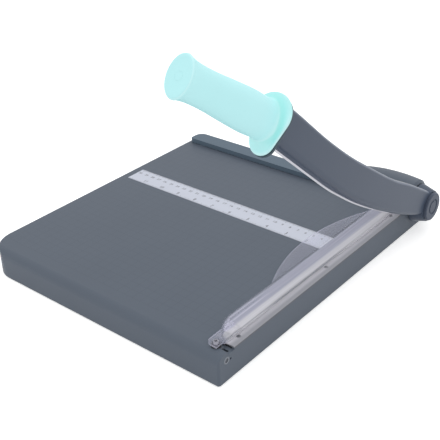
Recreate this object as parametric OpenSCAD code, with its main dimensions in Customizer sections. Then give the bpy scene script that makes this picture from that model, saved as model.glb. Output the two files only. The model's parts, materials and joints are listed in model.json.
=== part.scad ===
// Guillotine paper trimmer with its blade arm raised.
// Every piece is laid out in the board's own frame: x = 0 is the cutting edge and
// the board lies to its left, y = 0 is the front face, z = 0 is the base's lower edge.
// placed() then moves that frame to the middle of the part, on the surface it stands on.

/* [Base] */
// Width of the base, from its left side to the cutting edge
base_w = 314; // [290:1:360]
// Depth of the base, from its front face to its rear wall
base_d = 348; // [330:1:400]
// Height of the table above the base's lower edge
base_h = 30; // [28:0.5:38]
// Thickness of the moulded walls
wall = 3; // [2.2:0.1:4]
// Plan radius of the front left corner
corner_r = 30; // [14:1:40]
// Plan radius of the rear left corner
rear_r = 14; // [10:1:30]
// Plan radius of the front right corner
side_r = 2.5; // [1:0.5:4]
// Radius of the edge round the table, on the left and at the rear
edge_r = 2; // [1:0.25:4]
// Radius of the soft edge along the front
front_r = 9; // [5:0.5:10]
// Width of the solid rail that carries the ledger
rail_w = 15; // [14.5:0.5:18]
// Thickness of the bottom cover
cover_t = 2.5; // [1.5:0.1:4]
// Height of the rubber feet
foot_h = 1.5; // [1:0.1:5]
// Radius of a rubber foot
foot_r = 9; // [6:0.5:12]

/* [Pivot housing] */
// Distance of the pivot behind the rear wall
pivot_back = 1; // [0:0.5:4]
// Height of the pivot above the table
pivot_rise = 0; // [0:0.5:4]
// Largest radius of the housing round the pivot
hump_r = 25.8; // [23:0.2:27]
// Distance of the housing's widest place from the cutting edge
hump_peak = 30; // [20:1:45]
// Length of the housing along the rear wall
hump_len = 130; // [110:1:160]
// Radius at the housing's left tip
hump_tip = 3; // [2:0.5:6]
// Bevel on the rim of the housing's right end
hump_bevel = 2.4; // [1:0.2:3]
// Thickness of the wall that carries the pivot
pivot_wall = 6; // [4:0.5:8]
// Radius of the pivot bolt
bolt_r = 5; // [4:0.25:5.5]
// Radius of the pivot bolt's head
bolt_head_r = 8.5; // [7.5:0.25:9]
// Height of the pivot bolt's head
bolt_head_h = 3.8; // [2.5:0.1:4.2]

/* [Table fittings] */
// Distance of the fence's front from the rear wall
fence_in = 27; // [26.5:0.5:34]
// Depth of the fence
fence_d = 20; // [14:0.5:22]
// Height of the fence above the table
fence_h = 6.4; // [4:0.2:8]
// Distance of the fence's left end from the base's left side
fence_left = 4.5; // [4:0.5:20]
// Height and depth of the relief under the fence's front edge
fence_relief = 0.8; // [0.4:0.1:1.5]
// Distance of the ruler strip's front edge from the front face
ruler_y = 200; // [120:1:230]
// Width of the ruler strip
ruler_w = 26; // [20:0.5:34]
// Thickness of the ruler strip
ruler_t = 1.2; // [0.8:0.1:1.6]
// Length of the ruler's scale
ruler_scale = 300; // [260:1:300]
// Distance of the ledger's front end from the front face
ledger_front = 21.8; // [20:0.2:26]
// Width of the ledger strip
ledger_w = 10; // [8:0.5:11]
// Thickness of the ledger strip
ledger_t = 1.2; // [1:0.1:3]
// Height by which the ledger stands above the table
ledger_proud = 0.2; // [0:0.05:0.4]

/* [Finger guard] */
// Height of the paper gap under the guard
paper_gap = 1.6; // [1:0.1:2.4]
// Width of the guard's hollow bar
guard_w = 22.5; // [18:0.5:26]
// Height of the guard's hollow bar
guard_h = 7.6; // [6:0.2:10]
// Thickness of the clear plastic
guard_t = 1.8; // [1.4:0.1:2.2]
// Distance of the guard's front tab from the front face
guard_front = 9; // [8.5:0.5:14]
// Reach of the half-moon flap beyond the bar
flap_reach = 19.5; // [12:0.5:24]
// Radius of the half-moon flap's edge
flap_r = 205; // [170:5:260]

/* [Blade arm] */
// Angle of the handle above the table in the rest pose
arm_rest_deg = 34; // [20:1:45]
// Gap between the collar and the base's front face when the arm is down
collar_clear = 1.5; // [1.5:0.5:8]
// Gap between the blade and the ledger's cutting edge
blade_gap = 0.4; // [0.3:0.05:0.6]
// Thickness of the blade
blade_t = 1.8; // [1.2:0.1:2.4]
// Width of the blade
blade_h = 21; // [18:0.5:22]
// Width of the ground bevel
blade_bevel = 3; // [2:0.25:4]
// Depth of the blade's lowest point under the handle line
blade_drop = 30.2; // [27:0.2:31]
// Height of the blade left free under the arm
blade_free = 1.4; // [1:0.1:3]
// Height of the arm's top edge above the handle line, at the collar
arm_crown = 20.8; // [18:0.2:23]
// Thickness of the arm at the collar
arm_t = 13.4; // [12.4:0.2:15]
// Radius of the hub on its inner side
hub_r_in = 21.5; // [20:0.5:23]
// Radius of the hub on its outer side
hub_r_out = 17.6; // [17:0.2:20]
// Depth of the cup in the hub that the pivot cap sits in
hub_cup = 3.4; // [2:0.2:4]
// Distance of the hub's middle below the pivot
hub_drop = 0.8; // [0:0.2:2]
// Width of the hub along the pivot
hub_w = 11.2; // [10.6:0.2:12]
// Radius of the pivot cap
cap_r = 16; // [15:0.25:16.25]
// Height of the pivot cap
cap_h = 7.1; // [5.8:0.1:8]

/* [Handle] */
// Length of the grip with its flange
grip_len = 118.5; // [100:0.5:140]
// Height of the grip at its end
grip_h = 32.6; // [28:0.2:36]
// Width of the grip at its end
grip_w = 22.6; // [20:0.2:28]
// Height of the flange
flange_h = 50.8; // [46:0.2:54]
// Width of the flange at its wide upper end
flange_w = 35.6; // [32:0.2:38]
// Width of the flange at its narrow lower end
flange_low_w = 21.8; // [20:0.2:30]
// Distance of the flange's middle below the grip's
flange_drop = 1.75; // [0:0.25:4]
// Distance of the flange's middle to the right of the grip's
flange_side = 2; // [0:0.1:3]
// Thickness of the flange
flange_t = 3.6; // [3:0.1:6]
// Thickness of the grey collar
collar_t = 3; // [2:0.1:5]
// How far the collar's wide end stays inside the flange's
collar_short = 1.2; // [0:0.1:2]
// How far the collar's narrow end stands out from the flange's
collar_out = 0.6; // [0:0.1:1.5]
// Distance of the handle's middle from the cutting edge
handle_x = 9.6; // [9.2:0.1:10.4]
// Radius of the steel tang
tang_r = 4.4; // [3.5:0.1:4.6]
// Length of the tang inside the arm
tang_in = 26; // [18:1:40]
// Length of the tang inside the grip
tang_out = 95; // [60:1:97]
// Radius of the plug in the grip's end
plug_r = 3.25; // [3:0.25:6]

/* [Lock] */
// Distance of the lock rod from the front face
lock_y = 11.2; // [10.5:0.1:12]
// Height of the lock rod above the base's lower edge
lock_z = 22; // [21:0.1:22.6]
// Radius of the lock rod
lock_rod_r = 2.2; // [1.6:0.1:2.4]
// Travel of the lock
lock_travel = 4.6; // [4:0.1:5]
// Thickness of the lock's knob along its travel
lock_knob_t = 3.4; // [2.5:0.1:3.6]
// Thickness of the wall that carries the lock's bush
lock_wall = 2.6; // [2:0.1:3]
// Distance of the corner notch from the front face
notch_front = 12.5; // [12:0.1:13]
// Depth of the corner notch below the table
notch_h = 3; // [2.4:0.1:3.4]

/* [Hidden] */
$fn = 96;
eps = 0.01;

// Clearances: a turning or sliding fit, a pushed-in fit, a seat cut round a flat piece
run_fit = 0.05;
push_fit = 0.05;
seat_fit = 0.15;
side_gap = 0.3;

// Screws: thread and head radii, and the boss round a thread
thread_r = 1.5;
head_r = 3;
head_h = 1.8;
boss_r = 4.5;

// The base's right face stands back from the cutting edge
edge_gap = 0.4;
table_t = wall;
right_x = -edge_gap;
pivot_y = base_d + pivot_back;
pivot_z = base_h + pivot_rise;

// Along the pivot, outwards from the housing's wall
washer_t = 1.2;
hub_x0 = right_x + washer_t + side_gap;
hub_x1 = hub_x0 + hub_w;
// and inwards
plate_t = 3;
spring_h = 2;
spring_n = 2;
nut_h = 8;
plate_x = right_x - pivot_wall;
spring_x = plate_x - plate_t;
nut_washer_x = spring_x - spring_n * spring_h;
nut_x = nut_washer_x - washer_t;
plate_r = 17.4;
plate_screw_at = 13.6;

// Blade and arm, in the arm's frame: distance from the pivot and height over the handle line
blade_x0 = blade_gap;
arm_x0 = blade_x0 + blade_t;
collar_r = pivot_y + collar_clear;
blade_start = hub_r_in + 4.5;
blade_end = collar_r - 5;
// Shares of the collar's distance, and of the blade's drop or the arm's crown
blade_line = [[0, 0.42], [0.07, 0.61], [0.17, 0.795], [0.28, 0.915], [0.36, 0.98], [0.45, 1],
              [0.52, 0.975], [0.6, 0.93], [0.71, 0.79], [0.85, 0.6], [1, 0.39]];
crown_line = [[0, 0.64], [0.06, 0.62], [0.13, 0.565], [0.2, 0.49], [0.26, 0.39], [0.32, 0.33], [0.39, 0.315],
              [0.47, 0.32], [0.6, 0.35], [0.75, 0.53], [0.92, 0.87], [1, 1]];
arm_steps = 36;
arm_round_top = 3.5;
arm_round_low = 6;
arm_round_back = 2;
blade_screw_at = [0.2, 0.42, 0.66, 0.9];
blade_screw_r = 1.6;
blade_screw_head = 3.4;
blade_screw_len = 7;
blade_screw_up = 13;

// Bevel of the pivot cap's rim, and the groove in its face
cap_bevel = 0.9;
cap_groove_r = 9;
cap_groove_w = 2;

// Handle, along the grip from the flange's rear face: share of the grip's length, half-height share
handle_z = 1.8;
grip_r = collar_r + collar_t;
grip_line = [[0.13, 1.02], [0.28, 1.04], [0.5, 0.965], [0.7, 0.88], [0.86, 0.875], [0.95, 0.94], [0.985, 1]];
grip_edge = 2;
plug_in = 3;
plug_sunk = 0.3;

// Ruler strip: from the scale's end to the guard's bar
ruler_over = 4;
ruler_x0 = -ruler_scale - ruler_over;

// Lock: the rod slides along x, in a bush in the right wall and in a bore in the rail.
// Its knob moves in a pocket of the rail that is open above, in the corner notch.
rail_x = right_x - rail_w;
pocket_x1 = right_x - lock_wall;
pocket_x0 = pocket_x1 - lock_travel - lock_knob_t - 2 * side_gap;
pocket_y0 = lock_y - lock_rod_r - 1;
pocket_y1 = lock_y + 6.5;
pocket_z0 = lock_z - lock_rod_r - 1;
notch_z = base_h - notch_h;
lock_bush_r = lock_rod_r + 1.3;
lock_bush_proud = 0.2;
lock_sunk = 0.5;
lock_hold = 2.2;
lock_play = 0.3;
lock_dot_r = 1.1;

// Ledger and guard
ledger_y0 = ledger_front;
ledger_y1 = base_d - fence_in - 5;
ledger_z1 = base_h + ledger_proud;
ledger_screw_x = -ledger_w * 0.66;
ledger_screw_in = 14;
guard_z = base_h + paper_gap;
guard_over = 2.2;
guard_x1 = -ledger_w + guard_over;
guard_x0 = guard_x1 - guard_w;
// The ruler strip ends just before the guard's bar
ruler_clear = 0.7;
ruler_x1 = guard_x0 - ruler_clear;
guard_y0 = guard_front + 9;
guard_y1 = base_d - fence_in - 8;
guard_rim = guard_t * 0.9;
// The bar's nose: its length, the width at its tip, and how much its left side bows out
guard_nose = 26;
guard_tip = 3;
guard_bow = 1.2;
guard_nose_steps = 8;
// The front tab: its left side, corner radius, right side, and where it flares to the bar's width
guard_tab_in = 7.6;
guard_tab_r = 7.5;
guard_tab_w = guard_w - guard_over + 0.2;
guard_tab_y = 21;
guard_flare = 37;
guard_rear_tab = 20;
guard_pts = [[-ledger_w - 4, guard_front + 4.6], [guard_x1 - guard_w * 0.45, guard_y1 - 8]];
spacer_r = 4.5;
flap_back = 108.8;
flap_y = guard_y1 - flap_back;

// Fastener places
cover_screw_in = 22;
cover_pts = [for (x = [-base_w + cover_screw_in, -base_w / 2, -rail_w - 11],
                  y = [cover_screw_in + 16, base_d - fence_in - 22]) [x, y]];
fence_y0 = base_d - fence_in;
fence_screw_in = 50;
fence_screw_step = (base_w - hump_len - fence_screw_in - 10) / 2;
fence_pts = [for (i = [0:2]) [-base_w + fence_screw_in + i * fence_screw_step, fence_y0 + fence_d / 2]];
foot_in = 34;
foot_pts = [
    for (x = [-base_w + foot_in, -rail_w - foot_in], y = [foot_in + 32, base_d - foot_in - 50])
        [x, y]
];

// Reach of the part, from which the frame's middle follows
rest_c = cos(arm_rest_deg);
rest_s = sin(arm_rest_deg);
rim_r = grip_r + grip_len - grip_edge;
rim_up = grip_h / 2 - grip_edge;
reach_left = -base_w;
reach_right = handle_x + flange_side + flange_w / 2;
reach_front = pivot_y - rim_r * rest_c - (rim_up - handle_z) * rest_s - grip_edge;
reach_rear = pivot_y + hump_r;
mid_x = (reach_left + reach_right) / 2;
mid_y = (reach_front + reach_rear) / 2;

// Cubic through [place, value] points, with slopes taken from the neighbours
function tangent(p, i) = let (a = max(i - 1, 0), b = min(i + 1, len(p) - 1))
    (p[b][1] - p[a][1]) / (p[b][0] - p[a][0]);
function span_of(p, s, i = 0) = (i >= len(p) - 2 || s <= p[i + 1][0]) ? i : span_of(p, s, i + 1);
function curve(p, s) =
    let (i = span_of(p, s), h = p[i + 1][0] - p[i][0], t = (s - p[i][0]) / h)
    (2 * t^3 - 3 * t^2 + 1) * p[i][1] + (t^3 - 2 * t^2 + t) * h * tangent(p, i)
    + (3 * t^2 - 2 * t^3) * p[i + 1][1] + (t^3 - t^2) * h * tangent(p, i + 1);
function mix(a, b, t) = a + (b - a) * t;

function blade_low(r) = -blade_drop * curve(blade_line, r / collar_r);
function arm_low(r) = blade_low(r) + blade_free;
function arm_top(r) = arm_crown * curve(crown_line, r / collar_r);
function arm_x1(r) = mix(hub_x1 + hub_cup - side_gap, arm_x0 + arm_t, r / collar_r);
function hump_at(x) = hump_r - (hump_r - hump_tip) * ((x + hump_peak) / (hump_len - hump_peak))^2;
function arc(c, r, a0, a1, n) = [for (i = [0:n]) c + r * [cos(mix(a0, a1, i / n)), sin(mix(a0, a1, i / n))]];

// Frames

module placed() translate([-mid_x, -mid_y, foot_h]) children();

// The arm's frame: pivot at the origin, the arm along -y, height over the handle line along z
module on_arm() placed() translate([0, pivot_y, pivot_z]) rotate([-arm_rest_deg, 0, 0]) children();

// The handle's frame: x and y across the grip, z outwards along it from distance r
module on_handle(r) on_arm() translate([handle_x, -r, handle_z]) rotate([90, 0, 0]) children();

// Along +x from x0, on the pivot's axis
module on_pivot(x0) translate([x0, pivot_y, pivot_z]) rotate([0, 90, 0]) children();

// Shared shapes

// A closed skin over rings that all have the same number of points
module skin(rings) {
    n = len(rings[0]);
    m = len(rings);
    sides = [for (j = [0:m - 2], i = [0:n - 1])
             let (a = j * n + i, b = j * n + (i + 1) % n) each [[a, a + n, b], [b, a + n, b + n]]];
    caps = [[for (i = [0:n - 1]) i], [for (i = [n - 1:-1:0]) (m - 1) * n + i]];
    polyhedron(points = [for (r = rings) each r], faces = concat(sides, caps));
}

module ring(r_out, r_in, h) difference() {
    cylinder(r = r_out, h = h);
    translate([0, 0, -1]) cylinder(r = r_in, h = h + 2);
}

// A screw with its head's underside at z = 0 and its thread below
module screw(len) {
    translate([0, 0, -len]) cylinder(r = thread_r, h = len + eps);
    cylinder(r = head_r, h = head_h);
}

module at(points, z) for (p = points) translate([p[0], p[1], z]) children();

// Outline of the base, set in by inset, with its own set-in on the right
module plan(inset, right) {
    l = -base_w + inset;
    r = right_x - right;
    b = base_d - inset;
    difference() {
        translate([l, inset]) square([r - l, b - inset]);
        if (corner_r > inset) translate([l, inset]) corner_cut(corner_r - inset);
        if (rear_r > inset) translate([l, b]) rotate(-90) corner_cut(rear_r - inset);
        if (side_r > inset) translate([r, inset]) rotate(90) corner_cut(side_r - inset);
    }
}

module corner_cut(r) difference() {
    translate([-1, -1]) square(r + 1);
    translate([r, r]) circle(r);
}

// A round post with a soft upper edge
module soft_post(r) rotate_extrude() {
    square([r, base_h - edge_r]);
    square([r - edge_r, base_h]);
    intersection() {
        translate([r - edge_r, base_h - edge_r]) circle(edge_r);
        square([r, base_h]);
    }
}

// The body of the base, with its soft edge on the front, left and rear
module base_block() {
    ez = base_h - edge_r;
    linear_extrude(ez) plan(0, 0);
    linear_extrude(base_h) plan(edge_r, 0);
    for (e = [[edge_r, corner_r], [base_d - edge_r, rear_r]])
        translate([-base_w + e[1], e[0], ez]) rotate([0, 90, 0])
            cylinder(r = edge_r, h = base_w - e[1] + right_x);
    translate([-base_w + edge_r, corner_r, ez]) rotate([-90, 0, 0])
        cylinder(r = edge_r, h = base_d - corner_r - rear_r);
    translate([-base_w + corner_r, corner_r, 0]) soft_post(corner_r);
    translate([-base_w + rear_r, base_d - rear_r, 0]) soft_post(rear_r);
}

// What the soft front edge takes off
module front_cut() difference() {
    translate([-base_w - 1, -1, base_h - front_r]) cube([base_w + 2, front_r + 1, front_r + 1]);
    translate([-base_w - 2, front_r, base_h - front_r])
        rotate([0, 90, 0]) cylinder(r = front_r, h = base_w + 4);
}

hump_steps = 20;
function hump_xs(x0, x1) = [for (i = [0:hump_steps]) mix(x0, x1, i / hump_steps)];

// The pivot housing's outside: turned about the pivot above, straight down below
module hump_round(inset, x0, x1, bevel = 0) on_pivot(0) rotate_extrude()
    polygon(concat([[0, x0]], [for (x = hump_xs(x0, x1 - bevel)) [hump_at(x) - inset, x]],
                   bevel > 0 ? [[hump_at(x1) - inset - bevel, x1]] : [], [[0, x1]]));

module hump_skirt(inset, x0, x1, z0, z1) translate([0, 0, z0]) linear_extrude(z1 - z0)
    polygon(concat([for (x = hump_xs(x0, x1)) [x, pivot_y - hump_at(x) + inset]],
                   [for (x = hump_xs(x1, x0)) [x, pivot_y + hump_at(x) - inset]]));

hump_in_x0 = -hump_len + 20;
hump_in_x1 = right_x - pivot_wall;

module base_hollow() {
    step = front_r / 2;
    translate([0, 0, -1]) linear_extrude(base_h - front_r + 1) plan(wall, rail_w);
    linear_extrude(base_h - table_t) plan(wall + step, rail_w);
    hump_skirt(wall, hump_in_x0, hump_in_x1, -1, pivot_z + 1);
}

module bosses() {
    at(cover_pts, cover_t) cylinder(r = boss_r, h = base_h - table_t - cover_t + eps);
    at([guard_pts[1]], base_h - guard_screw_len - 2) cylinder(r = boss_r, h = guard_screw_len);
}

guard_screw_len = 5;
cover_screw_len = 12;
fence_screw_len = table_t + fence_h - 1.5;
ledger_screw_len = 9;
housing_pt = [hump_in_x0 - 6, pivot_y + 2];
housing_screw_z = base_h - 8;
housing_screw_in = 6;

// Pieces on the base

module base_shell() color("slategray") placed() difference() {
    union() {
        base_block();
        hump_skirt(0, -hump_len, right_x, 0, pivot_z);
    }
    difference() {
        base_hollow();
        bosses();
    }
    at(cover_pts, cover_t - 1) cylinder(r = thread_r + push_fit, h = cover_screw_len + 1);
    at(guard_pts, base_h - guard_screw_len) cylinder(r = thread_r + push_fit, h = guard_screw_len + 1);
    at(fence_pts, base_h - table_t - 1) cylinder(r = thread_r + push_fit, h = table_t + 2);
    // Seat of the ruler strip
    translate([ruler_x0 - seat_fit, ruler_y - seat_fit, base_h - ruler_t])
        cube([ruler_x1 - ruler_x0 + 2 * seat_fit, ruler_w + 2 * seat_fit, ruler_t + 1]);
    // Seat and screw holes of the ledger
    translate([-ledger_w - seat_fit, ledger_y0 - seat_fit, ledger_z1 - ledger_t])
        cube([ledger_w + 1, ledger_y1 - ledger_y0 + 2 * seat_fit, ledger_t + 1]);
    at(ledger_pts, ledger_z1 - ledger_t - ledger_screw_len)
        cylinder(r = thread_r + push_fit, h = ledger_screw_len + 1);
    front_cut();
    // Corner notch, the lock's pocket and bores, and a small hole beside its bush
    translate([pocket_x0, notch_front, notch_z]) cube([1 - pocket_x0, ledger_y0 - notch_front, notch_h + 1]);
    translate([pocket_x0, pocket_y0, pocket_z0])
        cube([pocket_x1 - pocket_x0, pocket_y1 - pocket_y0, notch_z - pocket_z0 + eps]);
    on_lock(lock_x0 - 1) cylinder(r = lock_rod_r + run_fit, h = pocket_x0 - lock_x0 + 2);
    on_lock(pocket_x1 - 1) cylinder(r = lock_bush_r + push_fit, h = lock_wall + 2);
    translate([0, lock_bush_r + 1.8, -1]) on_lock(pocket_x1 - 1) cylinder(r = lock_dot_r, h = lock_wall + 2);
    pivot_holes();
    // Way for the housing's screw and its driver
    at([housing_pt], -1) cylinder(r = head_r + side_gap, h = housing_screw_z + 1);
    at([housing_pt], housing_screw_z - 1) cylinder(r = thread_r + push_fit, h = base_h);
}

// Pivot hole and the threads of the plate's screws
module pivot_holes() {
    on_pivot(plate_x - 1) cylinder(r = bolt_r + run_fit, h = pivot_wall + 2);
    at_plate_screws(plate_x - 1) cylinder(r = thread_r + push_fit, h = plate_screw_len + 1);
}

// The upper half of the pivot housing; the base's rear corner is the lower half
module pivot_housing() color("slategray") placed() difference() {
    intersection() {
        hump_round(0, -hump_len, right_x, hump_bevel);
        translate([-hump_len - 1, pivot_y - hump_r - 1, pivot_z])
            cube([hump_len + 2, 2 * hump_r + 2, hump_r + 1]);
    }
    hump_round(wall, hump_in_x0, hump_in_x1);
    pivot_holes();
    at([housing_pt], pivot_z - 1) cylinder(r = thread_r + push_fit, h = housing_screw_in + 1);
}

// From below, into the housing's solid left tip
module housing_screw() color("silver") placed() at([housing_pt], housing_screw_z) rotate([180, 0, 0])
    screw(pivot_z - housing_screw_z + housing_screw_in - 0.5);

module bottom_cover() color("dimgray") placed() difference() {
    union() {
        linear_extrude(cover_t) plan(wall + side_gap, rail_w + side_gap);
        linear_extrude(cover_t) cover_tail();
    }
    at(cover_pts, -1) cylinder(r = thread_r + 0.2, h = cover_t + 2);
    at(cover_pts, -1) cylinder(r = head_r + 0.3, h = head_h - 0.5 + 1);
}

// The cover's tongue under the pivot housing
module cover_tail() polygon(concat(
    [for (x = hump_xs(hump_in_x0 + side_gap, hump_in_x1 - side_gap)) [x, pivot_y - hump_at(x) / 2]],
    [for (x = hump_xs(hump_in_x1 - side_gap, hump_in_x0 + side_gap))
        [x, pivot_y + hump_at(x) - wall - side_gap]]));

module cover_screws() color("silver") placed() at(cover_pts, head_h - 0.5) rotate([180, 0, 0])
    screw(cover_screw_len - 1);

module rubber_feet() color("black") placed() at(foot_pts, -foot_h) cylinder(r = foot_r, h = foot_h);

module rear_fence() color("slategray") placed() difference() {
    translate([0, 0, base_h]) linear_extrude(fence_h) difference() {
        translate([-base_w + fence_left, fence_y0]) square([base_w - fence_left + right_x, fence_d]);
        translate([-base_w + fence_left, fence_y0 + fence_d]) rotate(-90) corner_cut(fence_d / 2);
        translate([-base_w + fence_left, fence_y0]) corner_cut(3);
    }
    hump_round(-side_gap, -hump_len - side_gap, right_x + 1);
    translate([-base_w, fence_y0 - 1, base_h - 1]) cube([base_w, fence_relief + 1, fence_relief + 1]);
    at(fence_pts, base_h - 1) cylinder(r = thread_r + push_fit, h = fence_h);
}

module fence_screws() color("silver") placed() at(fence_pts, base_h - table_t) rotate([180, 0, 0])
    screw(fence_screw_len);

module ruler_strip() color("lavender") placed() translate([ruler_x0, ruler_y, base_h - ruler_t])
    cube([ruler_x1 - ruler_x0, ruler_w, ruler_t]);

ledger_ys = [ledger_y0 + ledger_screw_in, mix(ledger_y0, ledger_y1, 0.52), ledger_y1 - ledger_screw_in];
ledger_pts = [for (y = ledger_ys)
              [ledger_screw_x, y]];
sink_r = 2.3;
sink_h = sink_r - thread_r;

// A countersunk screw with its flat head at z = 0
module sunk_screw(len, grow = 0) {
    translate([0, 0, -len]) cylinder(r = thread_r + grow, h = len);
    translate([0, 0, -sink_h]) cylinder(r1 = thread_r + grow, r2 = sink_r + grow, h = sink_h);
}

module ledger_strip() color("gainsboro") placed() difference() {
    translate([-ledger_w, ledger_y0, ledger_z1 - ledger_t])
        cube([ledger_w, ledger_y1 - ledger_y0, ledger_t]);
    at(ledger_pts, ledger_z1) sunk_screw(ledger_t + 1, push_fit);
    at(ledger_pts, ledger_z1 - eps) cylinder(r = sink_r + push_fit, h = 1);
}

module ledger_screws() color("gray") placed() at(ledger_pts, ledger_z1)
    sunk_screw(ledger_t + ledger_screw_len - 0.5);

// The guard's bar at a place along it: share of its full size, width and height
function guard_share(y) = 1 - pow(1 - min(1, (y - guard_y0) / guard_nose), guard_bow);
function guard_width(y) = mix(guard_tip, guard_w, guard_share(y));
function guard_height(y) = mix(guard_t * 1.4, guard_h, sqrt(guard_share(y)));

// Cross-sections of the bar: a low hollow ridge, steep on the left
function guard_outer(w, h) = [[-w, 0], [-w, guard_rim], [-w * 0.86, h * 0.78], [-w * 0.72, h * 0.98],
                              [-w * 0.62, h], [-1, guard_rim + 0.6], [0, guard_rim], [0, 0]];
function guard_inner(w, h) = [[-w + guard_t * 1.2, -1], [-w + guard_t * 1.2, guard_rim * 0.6],
                              [-w * 0.8, h * 0.78 - guard_t], [-w * 0.7, h - guard_t],
                              [-w * 0.62, h - guard_t], [-guard_t, guard_rim * 0.6], [-guard_t, -1]];
function on_guard(points, y) = [for (p = points) [guard_x1 + p[0], y, guard_z + p[1]]];
guard_ys = [for (i = [0:guard_nose_steps]) guard_y0 + guard_nose * i / guard_nose_steps];

// The bar runs along y; its front end narrows to a low nose on the right, which is solid
module guard_bar() difference() {
    skin([for (y = concat(guard_ys, [guard_y1])) on_guard(guard_outer(guard_width(y), guard_height(y)), y)]);
    skin([for (y = concat([for (i = [guard_nose_steps / 2:guard_nose_steps]) guard_ys[i]], [guard_y1 + 1]))
        on_guard(guard_inner(guard_width(y), guard_height(y)), y)]);
}

// A flat tab under each end of the bar; the front one flares out to the bar's width in an S
module guard_tabs() translate([0, 0, guard_z]) linear_extrude(guard_t) {
    translate([guard_x0, guard_front]) polygon(concat(
        [for (i = [0:8]) [guard_tab_in * (1 - cos(180 * i / 8)) / 2, mix(guard_flare, guard_tab_y, i / 8)]],
        arc([guard_tab_in + guard_tab_r, guard_tab_r], guard_tab_r, 180, 270, 8),
        [[guard_tab_w, 0], [guard_tab_w, guard_flare]]));
    translate([guard_x0 + guard_t, guard_y1 - guard_rear_tab]) square([guard_w - guard_t, guard_rear_tab]);
}

module guard_flap() translate([0, 0, guard_z]) linear_extrude(guard_rim) intersection() {
    translate([guard_x0 - flap_reach + flap_r, flap_y]) circle(flap_r, $fn = 180);
    translate([guard_x0 - flap_reach - 1, guard_y0]) square([flap_reach + 1 + guard_t, guard_y1 - guard_y0]);
}

module finger_guard() color("lavender", 0.5) placed() difference() {
    union() {
        difference() {
            guard_bar();
            // Room for the rear screw's head and a driver
            at([guard_pts[1]], guard_z) cylinder(r = head_r + 1.2, h = guard_h + 1);
        }
        guard_tabs();
        guard_flap();
    }
    at(guard_pts, guard_z - 1) cylinder(r = thread_r + 0.2, h = guard_t + 2);
}

module guard_screws() color("gray") placed() at(guard_pts, guard_z + guard_t)
    screw(guard_t + paper_gap + guard_screw_len - 1);

module guard_spacers() color("dimgray") placed()
    at(guard_pts, base_h) ring(spacer_r, thread_r + 0.2, paper_gap);

// Pieces on the pivot that stay with the base

plate_screw_len = pivot_wall - 2;

module at_plate_screws(x0) for (s = [-1, 1])
    translate([x0, pivot_y, pivot_z + s * plate_screw_at]) rotate([0, 90, 0]) children();

module pivot_plate() color("silver") placed() difference() {
    on_pivot(spring_x) cylinder(r = plate_r, h = plate_t);
    on_pivot(spring_x - 1) cylinder(r = bolt_r + push_fit, h = plate_t + 2);
    at_plate_screws(spring_x - 1) cylinder(r = thread_r + 0.2, h = plate_t + 2);
}

module plate_screws() color("gray") placed() at_plate_screws(spring_x) rotate([180, 0, 0])
    screw(plate_t + plate_screw_len - 0.5);

module pivot_bolt() color("silver") placed() {
    on_pivot(nut_x - nut_h - 2) cylinder(r = bolt_r, h = hub_x1 + side_gap - nut_x + nut_h + 2 + eps);
    on_pivot(hub_x1 + side_gap) difference() {
        cylinder(r = bolt_head_r, h = bolt_head_h);
        translate([0, 0, bolt_head_h - 2]) cylinder(r = 3.5, h = 3, $fn = 6);
    }
}

module thrust_washer() color("whitesmoke") placed()
    on_pivot(right_x) ring(bolt_r + 7, bolt_r + push_fit, washer_t);

// Each spring is a shallow dished disc; the two lie rim to rim
module disc_springs() color("gray") placed() for (i = [0:spring_n - 1])
    on_pivot(spring_x - (i + 0.5) * spring_h) mirror([0, 0, i % 2]) rotate_extrude()
        translate([0, -spring_h / 2]) polygon([[bolt_r + 0.1, spring_h], [bolt_r + 0.1, spring_h - 1],
                                               [bolt_r + 5, 0], [bolt_r + 5, 1]]);

module nut_washer() color("silver") placed() on_pivot(nut_x) ring(bolt_r + 4.5, bolt_r + push_fit, washer_t);

module pivot_nut() color("silver") placed() on_pivot(nut_x - nut_h) difference() {
    cylinder(r = bolt_r * 1.8, h = nut_h, $fn = 6);
    translate([0, 0, -1]) cylinder(r = bolt_r + push_fit, h = nut_h + 2);
}

// The lock

// Along +x from x0, on the lock's axis
module on_lock(x0) translate([x0, lock_y, lock_z]) rotate([0, 90, 0]) children();

module lock_bush() color("silver") placed() on_lock(pocket_x1)
    ring(lock_bush_r, lock_rod_r + run_fit, lock_wall + lock_bush_proud);

// At the end of its travel the rod still lies in the rail's bore
lock_x0 = rail_x + lock_hold - lock_travel;
lock_x1 = right_x - lock_sunk;

module lock_rod() color("silver") placed() on_lock(lock_x0) cylinder(r = lock_rod_r, h = lock_x1 - lock_x0);

module lock_knob() color("dimgray") placed() difference() {
    y1 = pocket_y1 - side_gap;
    translate([pocket_x0 + side_gap, 0, pocket_z0 + side_gap]) union() {
        translate([0, pocket_y0 + side_gap, 0])
            cube([lock_knob_t, y1 - pocket_y0 - side_gap, notch_z - pocket_z0 - 2 * side_gap]);
        // The thumb piece stands up in the notch, just below the table
        translate([0, notch_front + side_gap, 0])
            cube([lock_knob_t, y1 - notch_front - side_gap, base_h - pocket_z0 - 3 * side_gap]);
    }
    on_lock(pocket_x0) cylinder(r = lock_rod_r + push_fit, h = lock_knob_t + 1);
}

// Pieces on the arm

function arm_ring(r) = let (x1 = arm_x1(r), z0 = arm_low(r), z1 = arm_top(r), lo = arm_round_low,
                            up = arm_round_top, bk = arm_round_back)
    [for (p = concat([[arm_x0, z0]], arc([x1 - lo, z0 + lo], lo, -90, 0, 6),
                     arc([x1 - up, z1 - up], up, 0, 90, 5),
                     arc([arm_x0 + bk, z1 - bk], bk, 90, 180, 3))) [p[0], -r, p[1]]];

function blade_ring(r) = let (z0 = blade_low(r), x1 = blade_x0 + blade_t)
    [for (p = [[blade_x0, z0], [blade_x0 + 0.25, z0], [x1, z0 + blade_bevel],
               [x1, z0 + blade_h], [blade_x0, z0 + blade_h]]) [p[0], -r, p[1]]];

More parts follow.
